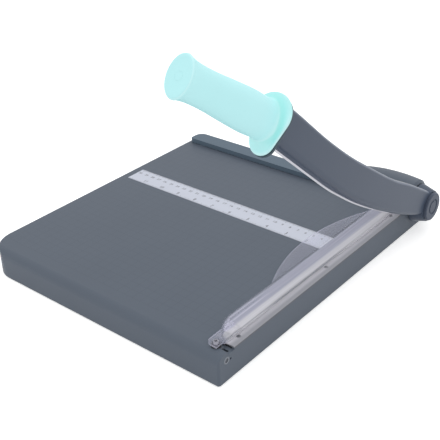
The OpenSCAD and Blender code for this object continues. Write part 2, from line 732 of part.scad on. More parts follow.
// Along +x from x0, at each blade screw
module at_blade_screws(x0) for (s = blade_screw_at)
    translate([x0, -s * collar_r, blade_low(s * collar_r) + blade_screw_up])
    rotate([0, 90, 0]) children();

// Hole that the lock's rod enters when the arm is down
module lock_hole() translate([blade_x0 - 1, lock_y - pivot_y, lock_z - pivot_z]) rotate([0, 90, 0])
    cylinder(r = lock_rod_r + lock_play, h = lock_x1 + lock_travel + lock_sunk - blade_x0 + 1);

module blade_screw(grow, len) {
    cylinder(r1 = blade_screw_head + grow, r2 = blade_screw_r + grow, h = blade_t);
    cylinder(r = blade_screw_r + grow, h = blade_t + len);
}

module arm_shell() color("slategray") difference() {
    on_arm() union() {
        skin([for (i = [0:arm_steps]) arm_ring(mix(2, collar_r, i / arm_steps))]);
        translate([hub_x0, 0, -hub_drop]) rotate([0, 90, 0])
            cylinder(r1 = hub_r_in, r2 = hub_r_out, h = hub_w + hub_cup);
    }
    on_arm() translate([hub_x1, 0, -hub_drop]) rotate([0, 90, 0])
        cylinder(r = cap_r + push_fit, h = hub_cup + 1);
    on_arm() translate([hub_x0 - 1, 0, 0]) rotate([0, 90, 0]) cylinder(r = bush_r, h = hub_w + 2);
    on_arm() at_blade_screws(blade_x0) blade_screw(push_fit, blade_screw_len + 0.5);
    on_arm() lock_hole();
    on_handle(collar_r - tang_in - 0.5) cylinder(r = tang_r + push_fit, h = tang_in + 2);
}

module cutting_blade() color("whitesmoke") on_arm() difference() {
    skin([for (i = [0:arm_steps]) blade_ring(mix(blade_start, blade_end, i / arm_steps))]);
    at_blade_screws(blade_x0 - eps) blade_screw(push_fit, 1);
    lock_hole();
}

module blade_screws() color("gray") on_arm() at_blade_screws(blade_x0) blade_screw(0, blade_screw_len);

bush_r = bolt_r + 2;

module pivot_bush() color("burlywood") on_arm() translate([hub_x0, 0, 0]) rotate([0, 90, 0])
    ring(bush_r - push_fit, bolt_r + run_fit, hub_w);

module pivot_cap() color("slategray")
on_arm() translate([hub_x1, 0, -hub_drop]) rotate([0, 90, 0]) difference() {
    union() {
        cylinder(r = cap_r, h = cap_h - cap_bevel);
        translate([0, 0, cap_h - cap_bevel]) cylinder(r1 = cap_r, r2 = cap_r - cap_bevel, h = cap_bevel);
    }
    translate([-hub_drop, 0, -1]) cylinder(r = bolt_head_r + 2, h = side_gap + bolt_head_h + 1.4);
    // A round groove in the face
    translate([0, 0, cap_h - 1]) ring(cap_groove_r, cap_groove_r - cap_groove_w, 2);
}

// Outline of the flange, like an egg: a wide circle above and a narrow one below, at the angles
// that the grip's own rings use too; each circle can be made larger or smaller
egg_lean = asin((flange_w - flange_low_w) / 2 / (flange_h - (flange_w + flange_low_w) / 2));
egg_wide = [for (i = [0:25]) mix(-egg_lean, 180 + egg_lean, i / 25)];
egg_low = [for (i = [1:14]) mix(180 + egg_lean, 360 - egg_lean, i / 15)];
function egg(wide, low) = concat(
    [for (a = egg_wide) [flange_side, (flange_h - flange_w) / 2 - flange_drop]
        + (flange_w / 2 + wide) * [cos(a), sin(a)]],
    [for (a = egg_low) [flange_side, (flange_low_w - flange_h) / 2 - flange_drop]
        + (flange_low_w / 2 + low) * [cos(a), sin(a)]]);

module arm_collar() color("slategray") difference() {
    on_handle(collar_r) linear_extrude(collar_t) polygon(egg(-collar_short, collar_out));
    on_handle(collar_r - 1) cylinder(r = tang_r + push_fit, h = collar_t + 2);
}

module grip_tang() color("silver") on_handle(collar_r - tang_in)
    cylinder(r = tang_r, h = tang_in + collar_t + tang_out);

// Half-height of the grip at each place along it, in order outwards
function grip_body(s) = [s * grip_len, grip_h / 2 * curve(grip_line, s)];
flange_from = grip_h / 2 * 1.1;
grip_profile = concat(
    [for (p = arc([flange_t / 2, flange_h / 2 - flange_t / 2], flange_t / 2, 180, 0, 8)) p],
    [[flange_t + 0.6, grip_h / 2 * 1.22], [flange_t + 2.2, flange_from],
        [flange_t + 5, grip_h / 2 * 1.04]],
    [for (i = [0:12]) grip_body(mix(0.13, 0.96, i / 12))],
    arc([grip_len - grip_edge, grip_h / 2 - grip_edge], grip_edge, 90, 0, 5));

// How far a ring of the grip has widened from the body to the flange
function flange_share(y) = max(0, (y - flange_from) / (flange_h / 2 - flange_from));
function body_ring(y) = [for (a = concat(egg_wide, egg_low)) y * [cos(a) * grip_w / grip_h, sin(a)]];
function grip_ring(y) = mix(body_ring(min(y, flange_from)), egg(0, 0), flange_share(y));

module grip() color("paleturquoise") difference() {
    on_handle(grip_r) skin([for (p = grip_profile) [for (q = grip_ring(p[1])) [q[0], q[1], p[0]]]]);
    on_handle(grip_r - 1) cylinder(r = tang_r + push_fit, h = tang_out + 1.5);
    on_handle(grip_r + grip_len - plug_in) cylinder(r = plug_r + push_fit, h = plug_in + 1);
}

module grip_plug() color("paleturquoise") on_handle(grip_r + grip_len - plug_in)
    cylinder(r = plug_r, h = plug_in - plug_sunk);

base_shell();
pivot_housing();
housing_screw();
bottom_cover();
cover_screws();
rubber_feet();
rear_fence();
fence_screws();
ruler_strip();
ledger_strip();
ledger_screws();
finger_guard();
guard_screws();
guard_spacers();
pivot_plate();
plate_screws();
pivot_bolt();
thrust_washer();
disc_springs();
nut_washer();
pivot_nut();
lock_bush();
lock_rod();
lock_knob();
arm_shell();
cutting_blade();
blade_screws();
pivot_bush();
pivot_cap();
arm_collar();
grip_tang();
grip();
grip_plug();
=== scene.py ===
"""Looks of a guillotine paper trimmer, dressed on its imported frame."""

import json
import math

import bmesh
import bpy
from bpy.props import FloatProperty, FloatVectorProperty, IntProperty, PointerProperty
from mathutils import Euler, Matrix, Vector


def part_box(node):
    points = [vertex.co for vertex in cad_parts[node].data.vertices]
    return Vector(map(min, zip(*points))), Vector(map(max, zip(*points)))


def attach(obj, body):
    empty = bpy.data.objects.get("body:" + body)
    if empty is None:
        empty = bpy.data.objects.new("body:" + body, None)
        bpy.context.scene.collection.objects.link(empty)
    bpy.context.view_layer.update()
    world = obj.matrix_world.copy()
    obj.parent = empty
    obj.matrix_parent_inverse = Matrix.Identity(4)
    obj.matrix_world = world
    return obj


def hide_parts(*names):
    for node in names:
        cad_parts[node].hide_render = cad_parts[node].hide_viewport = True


bl_info = {
    "name": "Paper Trimmer",
    "version": (1, 0, 0),
    "blender": (4, 5, 0),
    "location": "View3D > Sidebar > Trimmer",
    "description": "Dresses a guillotine paper trimmer on its frame",
    "category": "Object",
}

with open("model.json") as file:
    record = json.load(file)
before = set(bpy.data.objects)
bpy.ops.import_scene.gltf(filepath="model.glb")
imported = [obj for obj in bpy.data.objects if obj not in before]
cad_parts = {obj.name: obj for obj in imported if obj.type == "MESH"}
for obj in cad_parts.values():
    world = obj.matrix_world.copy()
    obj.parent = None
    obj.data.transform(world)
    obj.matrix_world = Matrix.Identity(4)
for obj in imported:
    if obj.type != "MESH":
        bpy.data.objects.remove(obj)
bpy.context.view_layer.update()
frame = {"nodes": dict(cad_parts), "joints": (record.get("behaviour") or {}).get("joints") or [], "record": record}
NODES = frame["nodes"]
RECORD = frame["record"]
BODY_OF = {n: b for b, names in RECORD["behaviour"]["bodies"].items() for n in names}
MM, CM, INCH = 0.001, 0.01, 0.0254

# The board's own frame: cutting edge, front face, lower edge and table
EDGE_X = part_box("ledger_strip")[1].x
FRONT_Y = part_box("base_shell")[0].y
LOW_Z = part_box("base_shell")[0].z
TABLE_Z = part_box("ruler_strip")[1].z

# The arm's frame: pivot at the origin, the arm along -y
SWING = {j["name"]: j for j in frame["joints"]}["arm_swing"]
PIVOT = Vector((EDGE_X, *SWING["pos_m"][1:]))
ARM_TURN = math.radians(SWING["range_deg"][0])
ARM_ANGLES = (ARM_TURN, 0.0, 0.0)
ARM = Matrix.Translation(PIVOT) @ Matrix.Rotation(ARM_TURN, 4, "X")
# The way the arm's crest faces, where a highlight is painted
ARM_CREST = ARM.to_3x3() @ Vector((0.7, 0.0, 0.7))
ARM_TIP = ARM.to_3x3() @ Vector((0.0, -1.0, 0.0))

# The table's field of squares and the painted shade on the rear wall of the lock's notch, as corners on the board
# in millimetres
GRID_FIELD = ((-303, 22, 0), (-31, 318, 0))
NOTCH_SHADE = ((-12.5, 20.8, 27.0), (-3.0, 21.9, 29.9))


def on_board(x, y, z):
    """A point of the board's frame, given in millimetres, in the part's frame."""
    return Vector((EDGE_X + x * MM, FRONT_Y + y * MM, LOW_Z + z * MM))


# Values that a user would change


def length(name, description, default):
    return FloatProperty(name=name, description=description, default=default, min=0.0, max=0.5,
                         precision=5, unit="LENGTH", subtype="DISTANCE")


def colour(name, description, default):
    return FloatVectorProperty(name=name, description=description, default=default, size=3,
                               min=0.0, max=1.0, subtype="COLOR")


class TrimmerFinishes(bpy.types.PropertyGroup):
    """Colours of the trimmer's pieces."""

    shell: colour("Shell", "Moulded plastic of the base", (0.102, 0.123, 0.156))
    fence: colour("Fence", "Moulded plastic of the rear fence", (0.1, 0.141, 0.184))
    arm: colour("Arm", "Moulded plastic of the arm", (0.061, 0.08, 0.119))
    cap: colour("Cap", "Moulded plastic of the cap over the pivot", (0.064, 0.079, 0.115))
    # Darker and tealer than the arm: painted shade from the flange and a painted reflection of the mint grip
    collar: colour("Collar", "Moulded plastic of the collar behind the grip", (0.05, 0.078, 0.098))
    grip: colour("Grip", "Soft plastic of the grip", (0.53, 0.93, 0.96))
    # Flange is painted shade where the grip meets its flange; Rim is a painted highlight at the flange's rim and
    # the end's lip
    flange: colour("Flange", "The grip's plastic where it meets its flange", (0.39, 0.87, 0.85))
    rim: colour("Rim", "The grip's plastic at the flange's rim", (0.62, 0.96, 0.98))
    guard: colour("Guard", "Haze of the clear finger guard", (0.74, 0.735, 0.9))
    milky: colour("Milky slope", "Milky outer slope of the finger guard", (0.82, 0.81, 0.87))
    ruler: colour("Ruler", "Face of the ruler strip", (0.55, 0.58, 0.67))
    print: colour("Print", "Ink of the ruler's scale", (0.07, 0.075, 0.09))
    blade: colour("Blade", "Ground steel of the blade", (0.46, 0.46, 0.5))
    ledger: colour("Ledger", "Steel of the ledger strip", (0.51, 0.502, 0.55))
    # Ground land; the paler ledger steel beside it is partly painted light that lifts the shade under the guard's
    # lip
    land: colour("Ground land", "Darker band along the ledger's cutting edge", (0.29, 0.295, 0.33))
    zinc: colour("Zinc", "Plated steel of the pivot and of screws", (0.4, 0.4, 0.46))
    lock: colour("Lock", "Bush of the lock", (0.22, 0.235, 0.265))
    worn: colour("Worn steel", "Ledger screws", (0.26, 0.265, 0.29))
    dark: colour("Dark steel", "Blackened screws and springs", (0.055, 0.055, 0.06))
    rod: colour("Rod", "Lock rod", (0.12, 0.13, 0.15))
    brass: colour("Brass", "Pivot bush", (0.62, 0.42, 0.14))
    nylon: colour("Nylon", "Thrust washer", (0.72, 0.7, 0.64))
    # This colour also paints the shade on the rear wall of the lock's notch
    cover: colour("Cover", "Bottom cover and spacers", (0.028, 0.03, 0.033))
    knob: colour("Knob", "Thumb piece of the lock", (0.085, 0.1, 0.125))
    rubber: colour("Rubber", "Feet", (0.014, 0.014, 0.015))


class TrimmerSizes(bpy.types.PropertyGroup):
    """Sizes of what is added to the frame's pieces."""

    soft_edge: length("Soft edge", "Rounding of the moulded pieces' sharp edges", 0.0005)
    fine_edge: length("Fine edge", "Rounding of the guard's and the knob's edges", 0.00035)
    bush_edge: length("Bush edge", "Rounding of the lock bush's edges", 0.0004)
    grid_pitch: length("Grid pitch", "Distance between the lines on the table", 0.01)
    grid_line: length("Grid line", "Width of a line on the table", 0.0006)
    tick_width: length("Tick width", "Width of a ruler tick", 0.00022)
    tick_short: length("Short tick", "Length of the finest ticks", 0.0016)
    tick_middle: length("Middle tick", "Length of the middle ticks", 0.0024)
    tick_long: length("Long tick", "Length of the numbered ticks", 0.0034)
    ink: length("Ink", "Thickness of the print", 0.00004)
    inch_height: length("Inch figures", "Height of the inch figures", 0.0042)
    cm_height: length("Centimetre figures", "Height of the centimetre figures", 0.0034)
    inch_row: length("Inch row", "Middle of the inch figures from the strip's front", 0.0052)
    cm_row: length("Centimetre row", "Middle of the centimetre figures from the strip's front", 0.0174)
    recess: length("Recess", "Width of a screw's cross recess", 0.0008)
    guard_bar: length("Guard bar", "Width of the guard's hollow bar", 0.0225)
    guard_tab: length("Guard tab", "Length of the guard's flat front tab", 0.009)
    segments: IntProperty(name="Segments", description="Points round the grip", default=96, min=16, max=256)


def finishes():
    return bpy.context.scene.trimmer_finishes


def sizes():
    return bpy.context.scene.trimmer_sizes


# Node graphs


class Wire:
    """One output of a graph's node; arithmetic on it adds Math nodes."""

    def __init__(self, graph, socket):
        self.graph = graph
        self.socket = socket

    def math(self, operation, *values):
        return self.graph.node("ShaderNodeMath", {"operation": operation}, dict(enumerate(values)))

    def __add__(self, other):
        return self.math("ADD", self, other)

    def __sub__(self, other):
        return self.math("SUBTRACT", self, other)

    def __rsub__(self, other):
        return self.math("SUBTRACT", other, self)

    def __mul__(self, other):
        return self.math("MULTIPLY", self, other)

    def __truediv__(self, other):
        return self.math("DIVIDE", self, other)

    def __mod__(self, other):
        return self.math("MODULO", self, other)

    def __gt__(self, other):
        return self.math("GREATER_THAN", self, other)

    def __lt__(self, other):
        return self.math("LESS_THAN", self, other)

    def __abs__(self):
        return self.math("ABSOLUTE", self)

    __radd__ = __add__
    __rmul__ = __mul__

    def fract(self):
        return self.math("FRACT", self)

    def most(self, other):
        return self.math("MAXIMUM", self, other)

    def least(self, other):
        return self.math("MINIMUM", self, other)


class Graph:
    """A node tree that is filled through one method."""

    def __init__(self, tree):
        self.tree = tree

    def node(self, kind, settings=None, inputs=None, output=0):
        made = self.tree.nodes.new(kind)
        for name, value in (settings or {}).items():
            setattr(made, name, value)
        for key, value in (inputs or {}).items():
            for one in value if isinstance(value, list) else [value]:
                self.feed(made.inputs[key], one)
        return Wire(self, made.outputs[output]) if len(made.outputs) else None

    def feed(self, socket, value):
        if isinstance(value, Wire):
            self.tree.links.new(value.socket, socket)
        elif socket.type == "RGBA" and len(value) == 3:
            socket.default_value = (*value, 1.0)
        else:
            socket.default_value = value

    def outputs(self, wire):
        return [Wire(self, s) for s in wire.socket.node.outputs]

    def blend(self, share, first, second):
        return self.node("ShaderNodeMix", {"data_type": "RGBA"}, {0: share, 6: first, 7: second}, 2)


class Finish(Graph):
    """A material whose nodes end in one Principled shader."""

    def __init__(self, name):
        self.material = bpy.data.materials.new(name)
        self.material.use_nodes = True
        super().__init__(self.material.node_tree)
        self.tree.nodes.clear()
        self.shader = self.tree.nodes.new("ShaderNodeBsdfPrincipled")
        out = self.tree.nodes.new("ShaderNodeOutputMaterial")
        self.tree.links.new(self.shader.outputs["BSDF"], out.inputs["Surface"])

    def place(self, output="Object"):
        return self.node("ShaderNodeTexCoord", output=output)

    def in_frame(self, origin, turn=(0.0, 0.0, 0.0), scale=(1.0, 1.0, 1.0)):
        """Object coordinates read in another frame."""
        return self.node("ShaderNodeMapping", {"vector_type": "TEXTURE"},
                         {"Vector": self.place(), "Location": origin, "Rotation": turn, "Scale": scale})

    def split(self, vector):
        return self.outputs(self.node("ShaderNodeSeparateXYZ", None, {0: vector}))

    def noise(self, vector, scale, detail=2.0, rough=0.5):
        return self.node("ShaderNodeTexNoise", None,
                         {"Vector": vector, "Scale": scale, "Detail": detail, "Roughness": rough})

    def ease(self, value, start, end):
        """From 0 at the start to 1 at the end, smoothly; the end may lie below the start."""
        return self.node("ShaderNodeMapRange", {"interpolation_type": "SMOOTHSTEP"},
                         {"Value": value, "From Min": start, "From Max": end})

    def facing(self, way):
        """How squarely a face looks along a direction."""
        return self.node("ShaderNodeVectorMath", {"operation": "DOT_PRODUCT"},
                         {0: self.place("Normal"), 1: way}, 1)

    def within(self, low, high):
        """1 inside a box."""
        inside = [(v > a) * (v < b) for v, a, b in zip(self.split(self.place()), low, high)]
        return inside[0] * inside[1] * inside[2]

    def tones(self, share, tint, spread):
        """A colour that is darker and lighter by a share of itself."""
        low, high = (tuple(min(1.0, c * k) for c in tint) for k in (1 - spread, 1 + spread))
        return self.blend(share, low, high)

    def ramp(self, value, stops):
        """A level looked up between stops of place and level."""
        made = self.node("ShaderNodeValToRGB", None, {0: value})
        elements = made.socket.node.color_ramp.elements
        for _ in stops[2:]:
            elements.new(1.0)
        for element, (place, level) in zip(elements, stops):
            element.position = place
            element.color = (level, level, level, 1.0)
        return made

    def bump(self, height, distance, strength):
        return self.node("ShaderNodeBump", None,
                         {"Height": height, "Distance": distance, "Strength": strength})

    def set(self, **sockets):
        for name, value in sockets.items():
            self.feed(self.shader.inputs[name.replace("_", " ")], value)
        return self.material


class Recipe(Graph):
    """A Geometry Nodes tree with named inputs, run once and kept as a plain mesh."""

    def __init__(self, name):
        super().__init__(bpy.data.node_groups.new(name, "GeometryNodeTree"))
        self.tree.interface.new_socket("Geometry", in_out="INPUT", socket_type="NodeSocketGeometry")
        self.tree.interface.new_socket("Geometry", in_out="OUTPUT", socket_type="NodeSocketGeometry")
        self.start = self.tree.nodes.new("NodeGroupInput")
        self.end = self.tree.nodes.new("NodeGroupOutput")
        self.names = {}

    def geometry(self):
        return Wire(self, self.start.outputs["Geometry"])

    def size(self, name, kind="Float"):
        made = self.tree.interface.new_socket(name, in_out="INPUT", socket_type="NodeSocket" + kind)
        self.names[name] = made.identifier
        return Wire(self, self.start.outputs[name])

    def close(self, instances, material):
        mesh = self.node("GeometryNodeRealizeInstances", None, {0: instances})
        dressed = self.node("GeometryNodeSetMaterial", None, {"Geometry": mesh, "Material": material})
        self.tree.links.new(dressed.socket, self.end.inputs["Geometry"])

    def run(self, name, points, **values):
        mesh = bpy.data.meshes.new(name)
        mesh.from_pydata([tuple(p) for p in points], [], [])
        made = bpy.data.objects.new(name, mesh)
        bpy.context.scene.collection.objects.link(made)
        modifier = made.modifiers.new("Recipe", "NODES")
        modifier.node_group = self.tree
        for key, value in values.items():
            modifier[self.names[key.replace("_", " ")]] = value
        return settled(made)


# Meshes


def settled(made):
    """Keeps what an object's modifiers give as its plain mesh."""
    graph = bpy.context.evaluated_depsgraph_get()
    mesh = bpy.data.meshes.new_from_object(made.evaluated_get(graph))
    made.modifiers.clear()
    made.data = mesh
    return made


def shaded(made, angle=35.0):
    """Smooth faces, with edges kept sharp past an angle."""
    made.data.shade_smooth()
    made.data.set_sharp_from_angle(angle=math.radians(angle))
    return made


def dressed(made, material):
    made.data.materials.clear()
    made.data.materials.append(material)
    return made


def stands_for(made, *nodes):
    """Puts a piece on the body of the nodes that it replaces."""
    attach(made, BODY_OF[nodes[0]])
    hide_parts(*nodes)
    return made


def kept(material, *nodes):
    """Gives a finish to pieces of the frame that keep their shape."""
    for node in nodes:
        dressed(NODES[node], material)


def new_piece(name, work):
    mesh = bpy.data.meshes.new(name)
    work.to_mesh(mesh)
    work.free()
    made = bpy.data.objects.new(name, mesh)
    bpy.context.scene.collection.objects.link(made)
    return made


# Distance under which two points are one, in a piece and in the ruler's figures
SAME_POINT, SAME_INK_POINT = 2e-6, 1e-7


def merged(node):
    """A joined-up copy of a node's mesh."""
    work = bmesh.new()
    work.from_mesh(NODES[node].data)
    bmesh.ops.remove_doubles(work, verts=work.verts, dist=SAME_POINT)
    return work


def solids(node):
    """The box of each separate solid of a node."""
    work = merged(node)
    left, found = set(work.verts), []
    while left:
        front = [left.pop()]
        group = list(front)
        while front:
            near = [e.other_vert(v) for v in front for e in v.link_edges]
            front = [v for v in set(near) if v in left]
            left.difference_update(front)
            group.extend(front)
        low = Vector([min(v.co[i] for v in group) for i in range(3)])
        high = Vector([max(v.co[i] for v in group) for i in range(3)])
        found.append((low, high))
    work.free()
    return sorted(found, key=lambda box: tuple(round(c, 5) for c in box[0]))


# Degrees between faces: joined into one flat, rounded off as an edge, and shaded as an edge
FLAT_ANGLE, EDGE_ANGLE, CREASE_ANGLE = 0.3, 30.0, 40.0


def softened(name, node, width):
    """A copy of a moulded piece with its sharp edges rounded off."""
    work = merged(node)
    bmesh.ops.dissolve_limit(work, angle_limit=math.radians(FLAT_ANGLE), verts=work.verts, edges=work.edges)
    made = new_piece(name, work)
    bevel = made.modifiers.new("Soft edges", "BEVEL")
    bevel.width = width
    bevel.segments = 2
    bevel.limit_method = "ANGLE"
    bevel.angle_limit = math.radians(EDGE_ANGLE)
    shaded(settled(made), CREASE_ANGLE)
    flat = made.modifiers.new("Flat faces stay flat", "WEIGHTED_NORMAL")
    flat.keep_sharp = True
    return settled(made)


def loft(name, rings):
    """A closed skin over rings of points; the last ring of each end is filled."""
    work = bmesh.new()
    rows = [[work.verts.new(p) for p in ring] for ring in rings]
    count = len(rows[0])
    for low, high in zip(rows, rows[1:]):
        for i in range(count):
            j = (i + 1) % count
            work.faces.new((low[i], low[j], high[j], high[i]))
    work.faces.new(rows[0][::-1])
    work.faces.new(rows[-1])
    bmesh.ops.recalc_face_normals(work, faces=work.faces)
    return new_piece(name, work)


def spline(points, steps):
    """A smooth line through points, with some steps to each span."""
    line = []
    for i in range(len(points) - 1):
        a, b, c, d = (Vector(points[min(max(k, 0), len(points) - 1)]) for k in range(i - 1, i + 3))
        for k in range(steps):
            t = k / steps
            line.append(0.5 * (2 * b + (c - a) * t + (2 * a - 5 * b + 4 * c - d) * t**2
                               + (3 * b - a - 3 * c + d) * t**3))
    return line + [Vector(points[-1])]


# Finishes


def times(tint, factor):
    """A colour made darker or paler by a factor."""
    return tuple(c * factor for c in tint)


def moulded(name, tint, grid=False, arm=False, rough=0.42):
    """Slate plastic with a fine spark-eroded skin; the arm's crest is rubbed smoother and painted paler as a
    highlight, the table has faint squares and painted shade on the rear wall of the lock's notch.
    """
    f = Finish(name)
    place = f.in_frame(PIVOT, ARM_ANGLES) if arm else f.place()
    skin = f.noise(place, 1500.0, 3.0, 0.6)
    cloud = f.noise(place, 14.0, 2.0)
    speck = f.noise(place, 2600.0, 1.0)
    base = f.tones(cloud * 0.6 + speck * 0.4, tint, 0.07)
    height = skin
    rough = rough + skin * 0.12
    if arm:
        # Painted highlight: the arm's crest is painted paler; its lower roughness stands for rubbed wear
        rubbed_and_highlight = f.ease(f.facing(ARM_CREST), 0.82, 0.95)
        base = f.blend(rubbed_and_highlight * 0.5, base, times(tint, 1.9))
        rough = rough - rubbed_and_highlight * 0.08
    if grid:
        lines = table_lines(f)
        base = f.blend(lines * 0.3, base, times(tint, 0.72))
        # Painted shade: the rear wall of the lock's notch takes the black cover's colour
        base = f.blend(f.within(*(on_board(*corner) for corner in NOTCH_SHADE)), base, finishes().cover)
        height = height - lines * 1.2
    return f.set(Base_Color=base, Roughness=rough, Normal=f.bump(height, 0.00005, 0.5),
                 Specular_IOR_Level=0.2)


def table_lines(f):
    """1 on the lines of the table's squares, fading out at a line's sides."""
    x, y, z = f.split(f.place())
    pitch, line = sizes().grid_pitch, sizes().grid_line
    start, end = (on_board(*corner) for corner in GRID_FIELD)
    near = [abs(((v - o) / pitch + 0.5).fract() - 0.5) * pitch
            for v, o in ((x, start.x), (y, start.y))]
    lines = 1 - f.ease(near[0].least(near[1]), line * 0.3, line * 0.8)
    field = (x > start.x - line) * (x < end.x + line) * (y > start.y - line) * (y < end.y + line)
    table = z > TABLE_Z - 0.2 * MM
    return lines * field * table


# The grip, in millimetres along and across it from the flange's rear face
GRIP_LENGTH, GRIP_HEIGHT, GRIP_WIDTH = 118.5, 32.6, 22.6
FLANGE_HEIGHT, FLANGE_WIDTH, FLANGE_LOW, FLANGE_THICK = 50.8, 35.6, 21.8, 3.6
FLANGE_SIDE, FLANGE_DROP = 2.0, 1.75
GRIP_EDGE, PLUG_RADIUS, PLUG_DEEP = 2.0, 3.3, 3.0
BORE_RADIUS, BORE_DEEP, PIN = 4.45, 96.4, 0.4
GRIP_ORIGIN = Vector((9.6, -353.5, 1.8))
# How far before the flange's rear face the flange's painted shade and highlight end and the body's colour is full
FLANGE_END, BODY_START = 4.0, 12.0
# Millimetres past the flange, and the neck's height as a share of the grip's
NECK_LINE = [(0.6, 1.22), (2.2, 1.1), (5.0, 1.04)]
# Share of the grip's length, and its height there as a share of the grip's
GRIP_LINE = [(0.13, 1.02), (0.28, 1.04), (0.5, 0.965), (0.7, 0.88), (0.86, 0.875), (0.95, 0.94), (0.985, 1.0)]
# Share of the way from the end's edge in to the plug, and how deep the end is sunk there in millimetres
END_DISH = [(0.12, 0.0), (0.3, 0.25), (0.6, 0.35), (0.9, 0.3)]
PLUG_LIP, PLUG_SUNK = 0.5, 0.3


def soft_grip(name, tint, flange, rim_highlight):
    """Mint plastic with a soft sheen, with painted shade where the flange begins, a painted highlight towards the
    flange's rim and round the end's lip, and painted shade on the end's face.
    """
    f = Finish(name)
    place = f.in_frame(PIVOT, ARM_ANGLES)
    skin = f.noise(place, 1900.0, 2.0)
    cloud = f.noise(place, 22.0, 2.0)
    across, along, up = f.split(place)
    body = f.ease(along, (GRIP_ORIGIN.y - FLANGE_END) * MM, (GRIP_ORIGIN.y - BODY_START) * MM)
    wide = (across - (GRIP_ORIGIN.x + FLANGE_SIDE) * MM) / (FLANGE_WIDTH / 2 * MM)
    high = (up - (GRIP_ORIGIN.z - FLANGE_DROP) * MM) / (FLANGE_HEIGHT / 2 * MM)
    facing = f.facing(ARM_TIP)
    # Painted highlight on the flange's rim, weaker at its top and stronger at its foot
    rim = (1 - f.ease(facing, 0.3, 0.8)).most(f.ease(wide * wide + high * high, 0.5, 1.0))
    top_shade, bottom_highlight = f.ease(high, 0.0, 0.7), f.ease(high, -0.3, -0.75)
    rim = (rim * (1 - top_shade * 0.55)).most(bottom_highlight * 0.6)
    # Painted shade on the end's face and a painted highlight on the lip round it
    end = f.ease(facing, 0.7, 0.95)
    lip_highlight = f.ease(facing, 0.15, 0.45) * (1 - end)
    mint = f.blend(end, f.tones(cloud, tint, 0.03), times(tint, 0.96))
    # Where the flange begins the grip takes painted shade, towards the rim a painted highlight
    base = f.blend(body, f.blend(rim, flange, rim_highlight), f.blend(lip_highlight * 0.7, mint, rim_highlight))
    return f.set(Base_Color=base, Roughness=0.46 + skin * 0.1, Normal=f.bump(skin, 0.00003, 0.4),
                 Specular_IOR_Level=0.4)


# Share of the bar's width from its left foot, and the haze of its outer skin
CLEAR_HAZE = [(0.0, 0.2), (0.02, 0.05), (0.24, 0.06), (0.28, 0.12), (0.32, 0.3), (0.37, 0.4), (0.65, 0.42),
              (0.69, 0.47), (0.74, 0.6), (0.78, 0.65), (0.89, 0.66), (0.92, 0.54), (0.955, 0.32), (0.985, 0.2),
              (1.0, 0.22)]
# The same near the bar's nose, with painted highlights where its ribs stand out as bright lines
NOSE_HAZE_AND_HIGHLIGHTS = [(0.0, 0.2), (0.02, 0.05), (0.24, 0.06), (0.29, 0.22), (0.32, 0.42), (0.355, 0.5), (0.385, 0.45),
             (0.425, 0.27), (0.46, 0.32), (0.52, 0.6), (0.57, 0.42), (0.65, 0.42), (0.72, 0.63), (0.78, 0.7),
             (0.89, 0.7), (0.92, 0.58), (0.95, 0.36), (0.975, 0.45), (1.0, 0.62)]
# Height of the outer skin as a share of the guard's height
BAR_ROOF = [(0.0, 0.21), (0.14, 0.78), (0.28, 0.98), (0.38, 1.0), (0.956, 0.29), (1.0, 0.21)]
# Haze of the flat tab, and the share of a haze that faces inside the skin keep
TAB_HAZE, INNER_HAZE = 0.2, 0.1
# Millimetres behind the tab, as where each change starts and ends: the bar, the fading of the ribs' painted
# highlights, the thinner haze of the solid front and the cloudier foot at the rear, which is painted light that
# lifts the shade beside the ledger
BAR_STARTS, RIB_HIGHLIGHTS_FADE, FRONT_FADES, REAR_LIGHT_STARTS = (0, 8), (85, 50), (27, 22), (150, 220)
# Length of the bar's solid front, depth of its skin and thickness of its lowest faces, in millimetres
SOLID_FRONT, SKIN_DEEP, LOW_FACE = 25, 0.8, 0.4


def clear_plastic(name, tint, milky):
    """Clear plastic with a faint violet haze, milkier down the bar's outer slope and at cut edges, with painted
    highlights on the ribs near the nose and painted light that lifts the shade along the bar's right foot towards
    the rear.
    """
    f = Finish(name)
    x, y, z = f.split(f.place())
    nx, _, nz = f.split(f.place("Normal"))
    low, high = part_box("finger_guard")
    width = sizes().guard_bar
    across = (x - (high.x - width)) / width
    tab_end = low.y + sizes().guard_tab

    def behind_tab(span):
        return f.ease(y, *(tab_end + d * MM for d in span))

    bar, nose = behind_tab(BAR_STARTS), behind_tab(RIB_HIGHLIGHTS_FADE)
    rear, front = behind_tab(REAR_LIGHT_STARTS), behind_tab(FRONT_FADES) * bar
    haze_and_painted_light = f.ramp(across, CLEAR_HAZE) * (1 - nose) + f.ramp(across, NOSE_HAZE_AND_HIGHLIGHTS) * nose
    # Painted light: towards the rear the bar's right foot grows cloudier, lifting the shade beside the ledger
    haze_and_painted_light = haze_and_painted_light * (1 - front * 0.28) + rear * f.ease(across, 0.91, 0.98) * 0.3
    roof = low.z + f.ramp(across, BAR_ROOF) * (high.z - low.z)
    solid = (y < tab_end + SOLID_FRONT * MM) * (z > low.z + LOW_FACE * MM)
    skin = (z > roof - SKIN_DEEP * MM).most(solid)
    haze = (TAB_HAZE + (haze_and_painted_light - TAB_HAZE) * bar) * (INNER_HAZE + skin * (1 - INNER_HAZE))
    milk = f.ease(across, 0.66, 0.76) * bar
    flow = f.noise(f.in_frame((0, 0, 0), scale=(0.0012, 0.09, 0.0012)), 1.0, 2.0)
    side = f.ease(abs(nx), 0.7, 0.95) * (across > -0.02) * bar
    cut = (1 - f.ease(abs(nz), 0.15, 0.5)) * (1 - side)
    # The last alpha term is painted light: the side walls grow milkier towards the rear
    return f.set(Base_Color=f.blend(milk, f.tones(flow, tint, 0.06), f.tones(flow, milky, 0.06)),
                 Roughness=0.16 + flow * 0.1, Specular_IOR_Level=0.55,
                 Alpha=haze * (0.8 + flow * 0.28) + cut * 0.3 + side * rear * 0.35)


